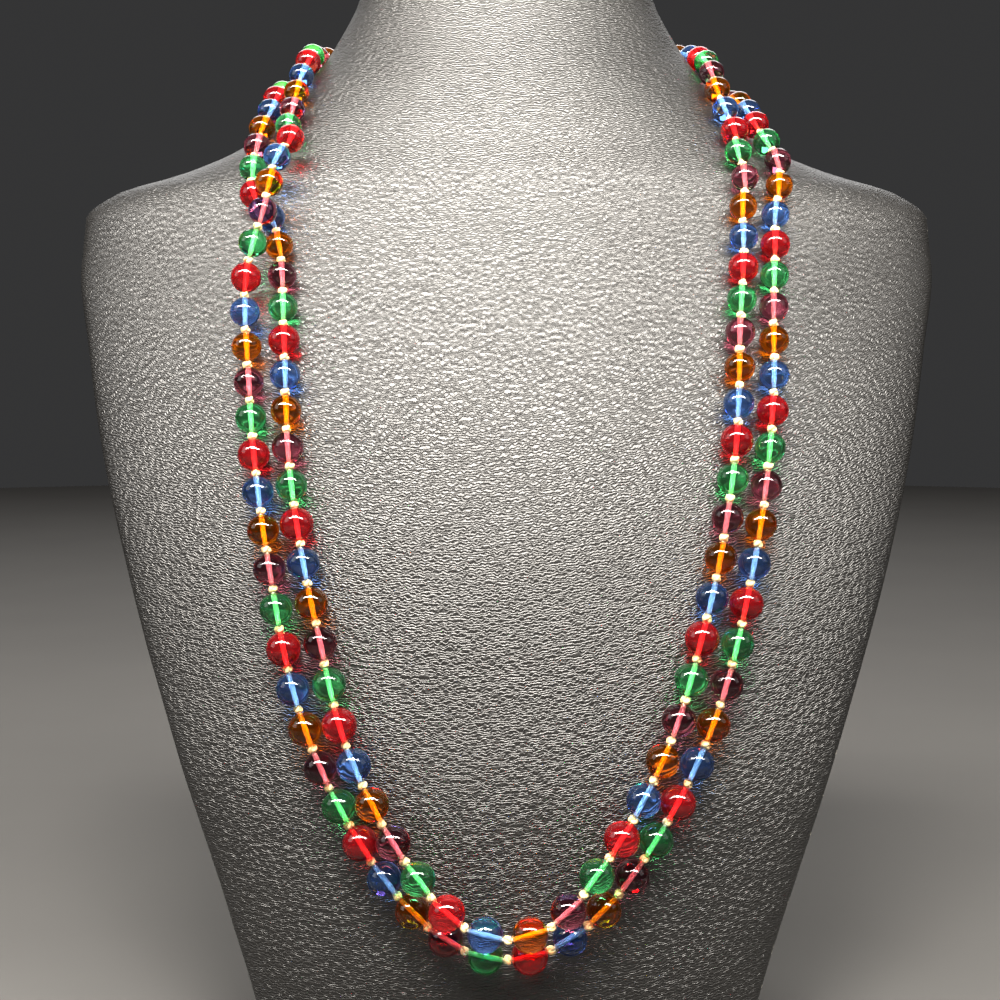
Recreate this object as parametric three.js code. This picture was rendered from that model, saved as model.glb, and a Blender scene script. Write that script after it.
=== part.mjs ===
// A double-strand necklace of round glass beads, knotted one by one on thread, on its neck bust.
// Millimetres, +Z up. The chest faces -Y, and +X is on the right of someone who looks at the chest.
import * as THREE from 'three';

// ---- neck bust -------------------------------------------------------------------------------

const BUST_BACK = 132;         // the flat back, measured from the front edge of the base
const BUST_TOP = 342;          // the top of the neck
const TOP_ROUNDING = 4;        // the soft edge round the top of the neck
const BUST_COLUMNS = 40;       // facets round one level of the bust
const BUST_LEVELS = 20;        // levels between the base and the rounded top

// One row for each level of the bust: the half width, how far forward the middle of the chest and
// the side edges lie, how bowed the chest is between them, and how square the back corners are.
const BUST_SECTIONS = [
  { height: 0, halfWidth: 66, chest: 0, edge: 9, bow: 1.4, square: 8 },
  { height: 40, halfWidth: 76.5, chest: -6, edge: 9, bow: 1.4, square: 8 },
  { height: 80, halfWidth: 89, chest: -7.5, edge: 10, bow: 1.4, square: 8 },
  { height: 120, halfWidth: 101.5, chest: -4.5, edge: 16, bow: 1.4, square: 8 },
  { height: 150, halfWidth: 110.5, chest: 0, edge: 23.5, bow: 1.4, square: 8 },
  { height: 180, halfWidth: 118.5, chest: 8, edge: 34, bow: 1.4, square: 8 },
  { height: 210, halfWidth: 125, chest: 20, edge: 47.5, bow: 1.4, square: 8 },
  { height: 235, halfWidth: 130, chest: 33.5, edge: 62, bow: 1.5, square: 8 },
  { height: 249, halfWidth: 130, chest: 42, edge: 69, bow: 1.7, square: 8 },
  { height: 257, halfWidth: 120.5, chest: 46.5, edge: 72, bow: 2, square: 6 },
  { height: 263, halfWidth: 101, chest: 49.5, edge: 75, bow: 2.4, square: 5 },
  { height: 270, halfWidth: 85, chest: 54, edge: 79.5, bow: 2.8, square: 4.5 },
  { height: 278, halfWidth: 75, chest: 58.5, edge: 85, bow: 2.8, square: 4 },
  { height: 290, halfWidth: 66, chest: 66, edge: 92, bow: 2.6, square: 3.5 },
  { height: 307, halfWidth: 55, chest: 77, edge: 101, bow: 2.2, square: 3 },
  { height: 325, halfWidth: 47.5, chest: 87.5, edge: 108, bow: 2.1, square: 3 },
  { height: 342, halfWidth: 46, chest: 97, edge: 114, bow: 2, square: 3 },
];

// ---- strands ---------------------------------------------------------------------------------

const FRONT_BEAD = 10;         // the diameter of the largest beads, at the middle of the front
const BEAD_TAPER = 0.075;      // each bead is this much smaller than the one before it
const PITCH_RATIO = 1.22;      // from bead to bead, in bead diameters: a bead and its knot
const PITCH_UNEVENNESS = 0.01; // the knots sit this much closer on the left and wider on the right
const SKIN_GAP = 0.4;          // clearance between a bead and the bust
const KNOT_RADIUS = 1.4;
const BEAD_SIDES = 7;
const BEAD_LATITUDES = [-60, -20, 20, 60];
const SECTION_GAP = 0.3;       // clearance between one section of a strand and the next
const SECTION_PLACES = ['front', 'chest', 'shoulder', 'nape'];
const ROUTE_SAMPLES = 3000;

// Where a strand lies on the bust, from the left end of the clasp round the front to its right end.
// turn is the angle round the bust from the middle of the front, lift how far it rides off the skin.
const OUTER_ROUTE = [
  { turn: -177.9, height: 306, lift: 0 },
  { turn: -140, height: 306, lift: 0 },
  { turn: -105, height: 303, lift: 0 },
  { turn: -80, height: 298, lift: 0 },
  { turn: -66, height: 286, lift: 0 },
  { turn: -53, height: 273, lift: 1.5 },
  { turn: -37.5, height: 262, lift: 6 },
  { turn: -31.5, height: 251, lift: 8 },
  { turn: -32.5, height: 238, lift: 8 },
  { turn: -35, height: 222, lift: 3.5 },
  { turn: -36, height: 195, lift: 0 },
  { turn: -36, height: 150, lift: 0 },
  { turn: -34.5, height: 108, lift: 0 },
  { turn: -28.5, height: 80, lift: 0 },
  { turn: -18, height: 56, lift: 0 },
  { turn: -6, height: 44.5, lift: 0 },
  { turn: 6, height: 44.5, lift: 0 },
  { turn: 18, height: 56, lift: 0 },
  { turn: 28.5, height: 80, lift: 0 },
  { turn: 35, height: 108, lift: 0 },
  { turn: 37.5, height: 150, lift: 0 },
  { turn: 37.5, height: 195, lift: 0 },
  { turn: 36.5, height: 235, lift: 0 },
  { turn: 39.5, height: 254, lift: 0 },
  { turn: 59, height: 266.5, lift: 0 },
  { turn: 77, height: 278, lift: 0 },
  { turn: 105, height: 291, lift: 0 },
  { turn: 140, height: 296, lift: 0 },
  { turn: 178.6, height: 297, lift: 0 },
];
const INNER_ROUTE = [
  { turn: -178.6, height: 297, lift: 0 },
  { turn: -140, height: 296, lift: 0 },
  { turn: -105, height: 292, lift: 0 },
  { turn: -80, height: 284, lift: 0 },
  { turn: -62, height: 271, lift: 0 },
  { turn: -41, height: 259, lift: 0 },
  { turn: -32.5, height: 247, lift: 0 },
  { turn: -30, height: 234, lift: 0 },
  { turn: -30, height: 210, lift: 0 },
  { turn: -30.5, height: 170, lift: 0 },
  { turn: -29, height: 130, lift: 0 },
  { turn: -26, height: 98, lift: 2 },
  { turn: -16, height: 67, lift: 4.5 },
  { turn: -6, height: 54, lift: 8 },
  { turn: 6, height: 54, lift: 8 },
  { turn: 15.5, height: 67, lift: 4.5 },
  { turn: 26, height: 98, lift: 2 },
  { turn: 30.5, height: 135, lift: 0 },
  { turn: 32, height: 175, lift: 0 },
  { turn: 31.6, height: 235, lift: 0 },
  { turn: 34, height: 255, lift: 0 },
  { turn: 57, height: 273, lift: 0 },
  { turn: 72, height: 291, lift: 0 },
  { turn: 100, height: 303, lift: 0 },
  { turn: 140, height: 306, lift: 0 },
  { turn: 177.9, height: 306, lift: 0 },
];

// ---- clasp -----------------------------------------------------------------------------------

const CLASP_WIDTH = 11.4;
const CLASP_HEIGHT = 17;
const CLASP_THICKNESS = 5;
const CLASP_ROUNDING = 2;
const CLASP_CENTRE_HEIGHT = 301.5;

const BUST_LOOK = new THREE.MeshStandardMaterial({ color: 0x1b1a1b, roughness: 0.5, metalness: 0 });
const BEAD_LOOK = new THREE.MeshStandardMaterial({ color: 0x5a3a70, roughness: 0.08, metalness: 0 });
const CLASP_LOOK = new THREE.MeshStandardMaterial({ color: 0xc9a24a, roughness: 0.3, metalness: 1 });

// ---- the surface of the bust -----------------------------------------------------------------

// The value of one column at a height, on a smooth curve that never overshoots its rows.
function sectionValue(column, height) {
  const rows = BUST_SECTIONS;
  const clamped = Math.min(Math.max(height, rows[0].height), rows[rows.length - 1].height);
  const index = Math.max(0, rows.findLastIndex((row, i) => row.height <= clamped && i < rows.length - 1));
  const rise = (i) => (rows[i + 1][column] - rows[i][column]) / (rows[i + 1].height - rows[i].height);
  const slope = (i) => {
    if (i === 0) return rise(0);
    if (i === rows.length - 1) return rise(i - 1);
    const below = rise(i - 1);
    const above = rise(i);
    return below * above > 0 ? (2 * below * above) / (below + above) : 0;
  };
  const span = rows[index + 1].height - rows[index].height;
  const t = (clamped - rows[index].height) / span;
  return (
    rows[index][column] * (1 + 2 * t) * (1 - t) ** 2 +
    rows[index + 1][column] * t * t * (3 - 2 * t) +
    span * slope(index) * t * (1 - t) ** 2 +
    span * slope(index + 1) * t * t * (t - 1)
  );
}

// A point of the bust: turn in degrees from the middle of the front (0) to the middle of the back.
function bustPoint(turn, height) {
  const angle = THREE.MathUtils.degToRad(turn);
  const across = Math.sin(angle);
  const forward = Math.cos(angle);
  const halfWidth = sectionValue('halfWidth', height);
  const edge = sectionValue('edge', height);
  if (forward >= 0) {
    const bulge = forward ** (2 / sectionValue('bow', height));
    const y = edge - (edge - sectionValue('chest', height)) * bulge;
    return new THREE.Vector3(halfWidth * across, y, height);
  }
  const power = 2 / sectionValue('square', height);
  const x = halfWidth * Math.sign(across) * Math.abs(across) ** power;
  return new THREE.Vector3(x, edge + (BUST_BACK - edge) * Math.abs(forward) ** power, height);
}

function bustNormal(turn, height) {
  const turnStep = 0.05;
  const heightStep = 0.05;
  const round = bustPoint(turn + turnStep, height).sub(bustPoint(turn - turnStep, height));
  const up = bustPoint(turn, height + heightStep).sub(bustPoint(turn, height - heightStep));
  return round.cross(up).normalize();
}

// ---- closed bodies from rings ----------------------------------------------------------------

// A closed body skinned over rings of equal length, with a flat fan at each end.
function skinRings(rings) {
  const sides = rings[0].length;
  const points = rings.flat();
  const firstCentre = points.length;
  const lastCentre = firstCentre + 1;
  const centreOf = (ring) =>
    ring.reduce((sum, point) => sum.add(point), new THREE.Vector3()).divideScalar(sides);
  const faces = [];
  for (let side = 0; side < sides; side += 1) {
    const next = (side + 1) % sides;
    for (let row = 0; row < rings.length - 1; row += 1) {
      const below = row * sides;
      const above = below + sides;
      faces.push(below + side, below + next, above + next, below + side, above + next, above + side);
    }
    const top = (rings.length - 1) * sides;
    faces.push(firstCentre, next, side, lastCentre, top + side, top + next);
  }
  const geometry = new THREE.BufferGeometry();
  geometry.setFromPoints([...points, centreOf(rings[0]), centreOf(rings[rings.length - 1])]);
  geometry.setIndex(faces);
  geometry.computeVertexNormals();
  return geometry;
}

function namedMesh(name, geometry, material) {
  const mesh = new THREE.Mesh(geometry, material);
  mesh.name = name;
  return mesh;
}

// ---- the bust --------------------------------------------------------------------------------

function makeBust() {
  const rings = [];
  const shoulderLevels = BUST_SECTIONS.map((row) => row.height);
  const evenLevels = Array.from({ length: BUST_LEVELS }, (_, i) => (i * BUST_TOP) / BUST_LEVELS);
  const tooClose = BUST_TOP / BUST_LEVELS / 3;
  const levels = evenLevels
    .filter((level) => shoulderLevels.every((other) => Math.abs(other - level) > tooClose))
    .concat(shoulderLevels)
    .sort((a, b) => a - b);
  for (const level of levels.filter((height) => height <= BUST_TOP - TOP_ROUNDING)) {
    rings.push(bustRing(level, 0));
  }
  for (const angle of [0, 30, 60, 90]) {
    const radians = THREE.MathUtils.degToRad(angle);
    const height = BUST_TOP - TOP_ROUNDING * (1 - Math.sin(radians));
    rings.push(bustRing(height, TOP_ROUNDING * (1 - Math.cos(radians))));
  }
  return namedMesh('neck_bust', skinRings(rings), BUST_LOOK);
}

// One level of the bust, drawn in towards its middle by inset.
function bustRing(height, inset) {
  return Array.from({ length: BUST_COLUMNS }, (_, column) => {
    const turn = (column * 360) / BUST_COLUMNS;
    const point = bustPoint(turn > 180 ? turn - 360 : turn, height);
    const centre = new THREE.Vector3(0, (sectionValue('chest', height) + BUST_BACK) / 2, height);
    return point.lerp(centre, inset / point.distanceTo(centre));
  });
}

// ---- the strands -----------------------------------------------------------------------------

// A strand's thread: points along it with the skin's normal and the length run so far.
function traceStrand(route) {
  const turns = new THREE.CatmullRomCurve3(
    route.map(({ turn, height, lift }) => new THREE.Vector3(turn, height, lift)),
  );
  const samples = [];
  for (let i = 0; i <= ROUTE_SAMPLES; i += 1) {
    const { x: turn, y: height, z: lift } = turns.getPoint(i / ROUTE_SAMPLES);
    const normal = bustNormal(turn, height);
    const clearance = SKIN_GAP + Math.max(lift, 0);
    samples.push({ skin: bustPoint(turn, height), normal, clearance, turn, run: 0 });
  }
  return measureStrand(samples);
}

// Lifts the thread off the skin by the radius of the beads that pass there, and measures it.
function measureStrand(samples) {
  const middle = samples.findIndex((sample) => sample.turn >= 0);
  for (let pass = 0; pass < 2; pass += 1) {
    const middleRun = samples[middle].run;
    for (const sample of samples) {
      const beadsAway = Math.abs(sample.run - middleRun) / (FRONT_BEAD * PITCH_RATIO);
      const radius = beadDiameter(beadsAway) / 2;
      sample.point = sample.skin.clone().addScaledVector(sample.normal, radius + sample.clearance);
    }
    for (let i = 1; i < samples.length; i += 1) {
      samples[i].run = samples[i - 1].run + samples[i].point.distanceTo(samples[i - 1].point);
    }
  }
  return { samples, middleRun: samples[middle].run, length: samples[samples.length - 1].run };
}

function beadDiameter(beadsFromMiddle) {
  return FRONT_BEAD - BEAD_TAPER * beadsFromMiddle;
}

// The place on the thread at a length from its left end: the point, the way on and a side vector.
function placeAt(strand, run) {
  const { samples } = strand;
  const clamped = Math.min(Math.max(run, 0), strand.length);
  const above = Math.max(1, samples.findIndex((sample) => sample.run >= clamped));
  const [from, to] = [samples[above - 1], samples[above]];
  const share = (clamped - from.run) / (to.run - from.run);
  const point = from.point.clone().lerp(to.point, share);
  const tangent = to.point.clone().sub(from.point).normalize();
  const side = from.normal.clone().cross(tangent).normalize();
  return { point, tangent, side, out: tangent.clone().cross(side) };
}

// The beads on one side of the middle, each with its place along the thread and its radius.
function stringBeads(strand, direction) {
  const beads = [];
  const pitchRatio = PITCH_RATIO + direction * PITCH_UNEVENNESS;
  let offset = (beadDiameter(0.5) * pitchRatio) / 2;
  for (let count = 0; ; count += 1) {
    const diameter = beadDiameter(count + 0.5);
    const run = strand.middleRun + direction * offset;
    const spare = direction > 0 ? strand.length - run : run;
    if (spare < diameter) return beads;
    beads.push({ run, radius: diameter / 2 });
    offset += ((diameter + beadDiameter(count + 1.5)) / 2) * pitchRatio;
  }
}

function ringAt(place, along, radius) {
  return Array.from({ length: BEAD_SIDES }, (_, side) => {
    const angle = ((side + 0.5) * 2 * Math.PI) / BEAD_SIDES;
    return place.point
      .clone()
      .addScaledVector(place.tangent, along)
      .addScaledVector(place.side, radius * Math.cos(angle))
      .addScaledVector(place.out, radius * Math.sin(angle));
  });
}

// Beads joined along their thread, from one length of it to another.
function makeStrandSection(name, strand, beads, start, end) {
  const threadRing = (run) => ringAt(placeAt(strand, run), 0, KNOT_RADIUS);
  const rings = [threadRing(start)];
  let reached = start;
  for (const bead of beads) {
    if (bead.run - bead.radius > reached) rings.push(threadRing(bead.run - bead.radius));
    const place = placeAt(strand, bead.run);
    for (const latitude of BEAD_LATITUDES) {
      const angle = THREE.MathUtils.degToRad(latitude);
      rings.push(ringAt(place, bead.radius * Math.sin(angle), bead.radius * Math.cos(angle)));
    }
    reached = bead.run + bead.radius;
    if (reached < end) rings.push(threadRing(reached));
  }
  rings.push(threadRing(end));
  return namedMesh(name, skinRings(rings), BEAD_LOOK);
}

// The middle of the knot between two beads, measured along the thread.
function knotBetween(bead, next) {
  return (bead.run + bead.radius + next.run - next.radius) / 2;
}

// A whole strand: four sections on each side of the middle of the front.
function makeStrand(name, route) {
  const strand = traceStrand(route);
  const left = stringBeads(strand, -1).reverse();
  const right = stringBeads(strand, 1);
  const beads = [...left, ...right];
  const leftShare = left.length / SECTION_PLACES.length;
  const rightShare = right.length / SECTION_PLACES.length;
  const group = new THREE.Group();
  SECTION_PLACES.forEach((place, index) => {
    const leftCuts = [index + 1, index].map((shares) => left.length - Math.round(leftShare * shares));
    const rightCuts = [index, index + 1].map((shares) => left.length + Math.round(rightShare * shares));
    for (const [side, [first, last]] of Object.entries({ left: leftCuts, right: rightCuts })) {
      const start = first === 0 ? 0 : knotBetween(beads[first - 1], beads[first]) + SECTION_GAP / 2;
      const atEnd = last === beads.length;
      const end = atEnd ? strand.length : knotBetween(beads[last - 1], beads[last]) - SECTION_GAP / 2;
      group.add(makeStrandSection(`${name}_${place}_${side}`, strand, beads.slice(first, last), start, end));
    }
  });
  return group;
}

// ---- the clasp -------------------------------------------------------------------------------

// A plain box with soft corners at the nape, between the ends of both strands.
function makeClasp() {
  const outline = new THREE.Shape();
  const cornerX = CLASP_WIDTH / 2 - CLASP_ROUNDING;
  const cornerY = CLASP_HEIGHT / 2 - CLASP_ROUNDING;
  const quarter = Math.PI / 2;
  const corners = [[cornerX, -cornerY], [cornerX, cornerY], [-cornerX, cornerY], [-cornerX, -cornerY]];
  corners.forEach(([x, y], index) => {
    outline.absarc(x, y, CLASP_ROUNDING, (index - 1) * quarter, index * quarter);
  });
  const geometry = new THREE.ExtrudeGeometry(outline, {
    depth: CLASP_THICKNESS,
    bevelEnabled: false,
    curveSegments: 4,
  });
  const clasp = namedMesh('clasp', geometry, CLASP_LOOK);
  clasp.rotation.x = Math.PI / 2;
  clasp.position.set(0, BUST_BACK + 2 * SKIN_GAP + CLASP_THICKNESS, CLASP_CENTRE_HEIGHT);
  return clasp;
}

// ---- the whole -------------------------------------------------------------------------------

const necklaceOnBust = new THREE.Group();
necklaceOnBust.add(makeBust());
necklaceOnBust.add(makeStrand('outer_strand', OUTER_ROUTE));
necklaceOnBust.add(makeStrand('inner_strand', INNER_ROUTE));
necklaceOnBust.add(makeClasp());

// The origin is under the middle of the whole, on the surface that the base stands on.
const size = new THREE.Box3().setFromObject(necklaceOnBust);
const middle = size.getCenter(new THREE.Vector3());
necklaceOnBust.position.set(-middle.x, -middle.y, -size.min.z);

export default necklaceOnBust;
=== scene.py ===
"""A double-strand necklace of knotted glass beads, resting on its leatherette neck bust.

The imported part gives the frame. Every piece here is worked out in the same place as the solid that
it stands for: the bust, and round it two strands of graduated beads, each with its thread, its
knots and the clasp at the nape. Lengths are in metres unless a name or a table says millimetres.
"""

from __future__ import annotations

import logging
import math
import random
from dataclasses import dataclass, field, replace
from enum import Enum

import bpy
import numpy as np
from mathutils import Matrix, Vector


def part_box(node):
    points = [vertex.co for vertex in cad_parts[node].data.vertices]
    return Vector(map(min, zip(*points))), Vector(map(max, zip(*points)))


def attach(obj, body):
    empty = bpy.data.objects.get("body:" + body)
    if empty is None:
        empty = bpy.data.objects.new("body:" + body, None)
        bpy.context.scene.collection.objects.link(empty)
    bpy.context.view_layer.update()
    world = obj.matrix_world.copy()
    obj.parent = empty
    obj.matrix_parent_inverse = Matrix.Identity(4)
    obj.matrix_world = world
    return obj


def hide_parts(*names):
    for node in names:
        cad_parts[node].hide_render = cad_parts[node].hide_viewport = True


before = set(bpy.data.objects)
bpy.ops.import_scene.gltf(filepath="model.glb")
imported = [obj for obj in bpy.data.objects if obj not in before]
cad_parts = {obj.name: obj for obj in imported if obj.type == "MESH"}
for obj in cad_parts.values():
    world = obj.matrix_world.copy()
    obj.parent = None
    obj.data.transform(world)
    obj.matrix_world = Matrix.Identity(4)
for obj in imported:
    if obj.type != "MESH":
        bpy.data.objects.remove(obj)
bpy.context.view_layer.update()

LOG = logging.getLogger("necklace")
MM = 0.001
ROOT_BODY = "root"


# ---- the bust's form and the strands' routes, as the part's source has them -------------------


@dataclass(frozen=True)
class BustLevel:
    """One level of the bust, in millimetres.

    chest and edge say how far back the middle of the chest and the side edges lie, bow how the
    chest curves between them, and square how square the back corners are.
    """

    height: float
    half_width: float
    chest: float
    edge: float
    bow: float
    square: float


@dataclass(frozen=True)
class Stop:
    """A place on a strand's route: degrees round the bust, and millimetres up it and off its skin."""

    turn: float
    height: float
    lift: float = 0.0


BUST_LEVELS = (
    BustLevel(0, 66, 0, 9, 1.4, 8),
    BustLevel(40, 76.5, -6, 9, 1.4, 8),
    BustLevel(80, 89, -7.5, 10, 1.4, 8),
    BustLevel(120, 101.5, -4.5, 16, 1.4, 8),
    BustLevel(150, 110.5, 0, 23.5, 1.4, 8),
    BustLevel(180, 118.5, 8, 34, 1.4, 8),
    BustLevel(210, 125, 20, 47.5, 1.4, 8),
    BustLevel(235, 130, 33.5, 62, 1.5, 8),
    BustLevel(249, 130, 42, 69, 1.7, 8),
    BustLevel(257, 120.5, 46.5, 72, 2, 6),
    BustLevel(263, 101, 49.5, 75, 2.4, 5),
    BustLevel(270, 85, 54, 79.5, 2.8, 4.5),
    BustLevel(278, 75, 58.5, 85, 2.8, 4),
    BustLevel(290, 66, 66, 92, 2.6, 3.5),
    BustLevel(307, 55, 77, 101, 2.2, 3),
    BustLevel(325, 47.5, 87.5, 108, 2.1, 3),
    BustLevel(342, 46, 97, 114, 2, 3),
)
BUST_BACK_MM = 132.0

OUTER_ROUTE = (
    Stop(-177.9, 306),
    Stop(-140, 306),
    Stop(-105, 303),
    Stop(-80, 298),
    Stop(-66, 286),
    Stop(-53, 273, 1.5),
    Stop(-37.5, 262, 6),
    Stop(-31.5, 251, 8),
    Stop(-32.5, 238, 8),
    Stop(-35, 222, 3.5),
    Stop(-36, 195),
    Stop(-36, 150),
    Stop(-34.5, 108),
    Stop(-28.5, 80),
    Stop(-18, 56),
    Stop(-6, 44.5),
    Stop(6, 44.5),
    Stop(18, 56),
    Stop(28.5, 80),
    Stop(35, 108),
    Stop(37.5, 150),
    Stop(37.5, 195),
    Stop(36.5, 235),
    Stop(39.5, 254),
    Stop(59, 266.5),
    Stop(77, 278),
    Stop(105, 291),
    Stop(140, 296),
    Stop(178.6, 297),
)
INNER_ROUTE = (
    Stop(-178.6, 297),
    Stop(-140, 296),
    Stop(-105, 292),
    Stop(-80, 284),
    Stop(-62, 271),
    Stop(-41, 259),
    Stop(-32.5, 247),
    Stop(-30, 234),
    Stop(-30, 210),
    Stop(-30.5, 170),
    Stop(-29, 130),
    Stop(-26, 98, 2),
    Stop(-16, 67, 4.5),
    Stop(-6, 54, 8),
    Stop(6, 54, 8),
    Stop(15.5, 67, 4.5),
    Stop(26, 98, 2),
    Stop(30.5, 135),
    Stop(32, 175),
    Stop(31.6, 235),
    Stop(34, 255),
    Stop(57, 273),
    Stop(72, 291),
    Stop(100, 303),
    Stop(140, 306),
    Stop(177.9, 306),
)


class Side(Enum):
    """The two halves of a strand, by the way they run from the middle of the front."""

    LEFT = -1
    RIGHT = 1


class Tint(Enum):
    """The five glasses, in the order in which they follow one another along a strand."""

    EMERALD = "emerald_glass"
    RUBY = "ruby_glass"
    SAPPHIRE = "sapphire_glass"
    AMBER = "amber_glass"
    AMETHYST = "amethyst_glass"


TINT_CYCLE = tuple(Tint)


# ---- shader nodes ----------------------------------------------------------------------------


class Value:
    """A socket of a shader node whose arithmetic adds Math nodes."""

    def __init__(self, shader: Shader, socket: bpy.types.NodeSocket) -> None:
        """Wraps one output socket of a shader."""
        self.shader = shader
        self.socket = socket

    def _math(self, operation: str, *operands: Value | float) -> Value:
        """Adds one Math node.

        Args:
            operation: the Math node's operation.
            operands: its inputs, as values or plain numbers.

        Returns:
            The node's result.
        """
        sockets = dict(enumerate(operands))
        return self.shader.add("ShaderNodeMath", {"operation": operation}, sockets)

    def __add__(self, other: Value | float) -> Value:
        """Adds."""
        return self._math("ADD", self, other)

    __radd__ = __add__

    def __mul__(self, other: Value | float) -> Value:
        """Multiplies."""
        return self._math("MULTIPLY", self, other)

    __rmul__ = __mul__

    def __sub__(self, other: Value | float) -> Value:
        """Subtracts."""
        return self._math("SUBTRACT", self, other)

    def __rsub__(self, other: float) -> Value:
        """Subtracts this value from a number."""
        return self._math("SUBTRACT", other, self)

    def __pow__(self, exponent: float) -> Value:
        """Raises to a power."""
        return self._math("POWER", self, exponent)

    def __abs__(self) -> Value:
        """Drops the sign."""
        return self._math("ABSOLUTE", self)

    def sine(self) -> Value:
        """Takes the sine."""
        return self._math("SINE", self)

    def step(self, low: float, high: float) -> Value:
        """Runs smoothly from 0 to 1.

        Args:
            low: the value that gives 0.
            high: the value that gives 1.

        Returns:
            The smooth step.
        """
        settings = {"interpolation_type": "SMOOTHSTEP"}
        return self.shader.add("ShaderNodeMapRange", settings, {"Value": self, 1: low, 2: high})


class Shader:
    """A material's node tree, with one method that adds any node."""

    def __init__(self, name: str) -> None:
        """Starts an empty material of this name."""
        self.material = bpy.data.materials.new(name)
        self.material.use_nodes = True
        self.tree = self.material.node_tree
        self.tree.nodes.clear()

    def add(
        self,
        kind: str,
        settings: dict[str, object] | None = None,
        sockets: dict[str | int, object] | None = None,
        output: str | int = 0,
    ) -> Value:
        """Adds a node.

        Args:
            kind: the node's type.
            settings: its own properties, which are set first.
            sockets: its inputs by name or place, as values to link or plain values.
            output: the output wanted.

        Returns:
            That output, wrapped.
        """
        node = self.tree.nodes.new(kind)
        for name, setting in (settings or {}).items():
            setattr(node, name, setting)
        for name, given in (sockets or {}).items():
            if isinstance(given, Value):
                self.tree.links.new(given.socket, node.inputs[name])
            else:
                node.inputs[name].default_value = given
        return Value(self, node.outputs[output])

    def place(self) -> Value:
        """The place on the object, in metres."""
        return self.add("ShaderNodeTexCoord", output="Object")

    def stretch(self, vector: Value, scales: tuple[float, float, float]) -> Value:
        """Scales a vector by a number for each axis."""
        return self.add("ShaderNodeVectorMath", {"operation": "MULTIPLY"}, {0: vector, 1: scales})

    def noise(self, vector: Value, scale: float, detail: float = 2.0, roughness: float = 0.5) -> Value:
        """A noise from 0 to 1.

        Args:
            vector: where to read it.
            scale: cells to the vector's unit.
            detail: how many finer layers it has.
            roughness: how strong the finer layers are.

        Returns:
            The noise.
        """
        sockets = {"Vector": vector, "Scale": scale, "Detail": detail, "Roughness": roughness}
        return self.add("ShaderNodeTexNoise", None, sockets)

    def blend(self, factor: Value | float, first: object, second: object) -> Value:
        """Mixes two colours.

        Args:
            factor: how much of the second shows.
            first: a colour, or a value that gives one.
            second: the same.

        Returns:
            The mixed colour.
        """
        colours = {0: factor, 6: _rgba(first), 7: _rgba(second)}
        return self.add("ShaderNodeMix", {"data_type": "RGBA"}, colours, output=2)

    def bump(self, height: Value, depth: float, strength: float = 1.0) -> Value:
        """A normal from a height map.

        Args:
            height: the height, from 0 to 1.
            depth: what a height of 1 stands for, in metres.
            strength: how much of it shows.

        Returns:
            The normal.
        """
        sockets = {"Height": height, "Distance": depth, "Strength": strength}
        return self.add("ShaderNodeBump", None, sockets)

    def finish(self, surface: Value, volume: Value | None = None) -> bpy.types.Material:
        """Links the output.

        Args:
            surface: the surface shader.
            volume: the volume shader, for a clear body with a colour of its own.

        Returns:
            The finished material.
        """
        sockets = {"Surface": surface}
        if volume is not None:
            sockets["Volume"] = volume
        output = self.tree.nodes.new("ShaderNodeOutputMaterial")
        for name, value in sockets.items():
            self.tree.links.new(value.socket, output.inputs[name])
        return self.material


def _rgba(colour: object) -> object:
    """Gives a plain three-part colour its fourth part, and leaves a linked one alone."""
    return colour if isinstance(colour, Value) else (*colour, 1.0)


# ---- finishes --------------------------------------------------------------------------------

Colour = tuple[float, float, float]
Direction = tuple[float, float, float]


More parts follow.
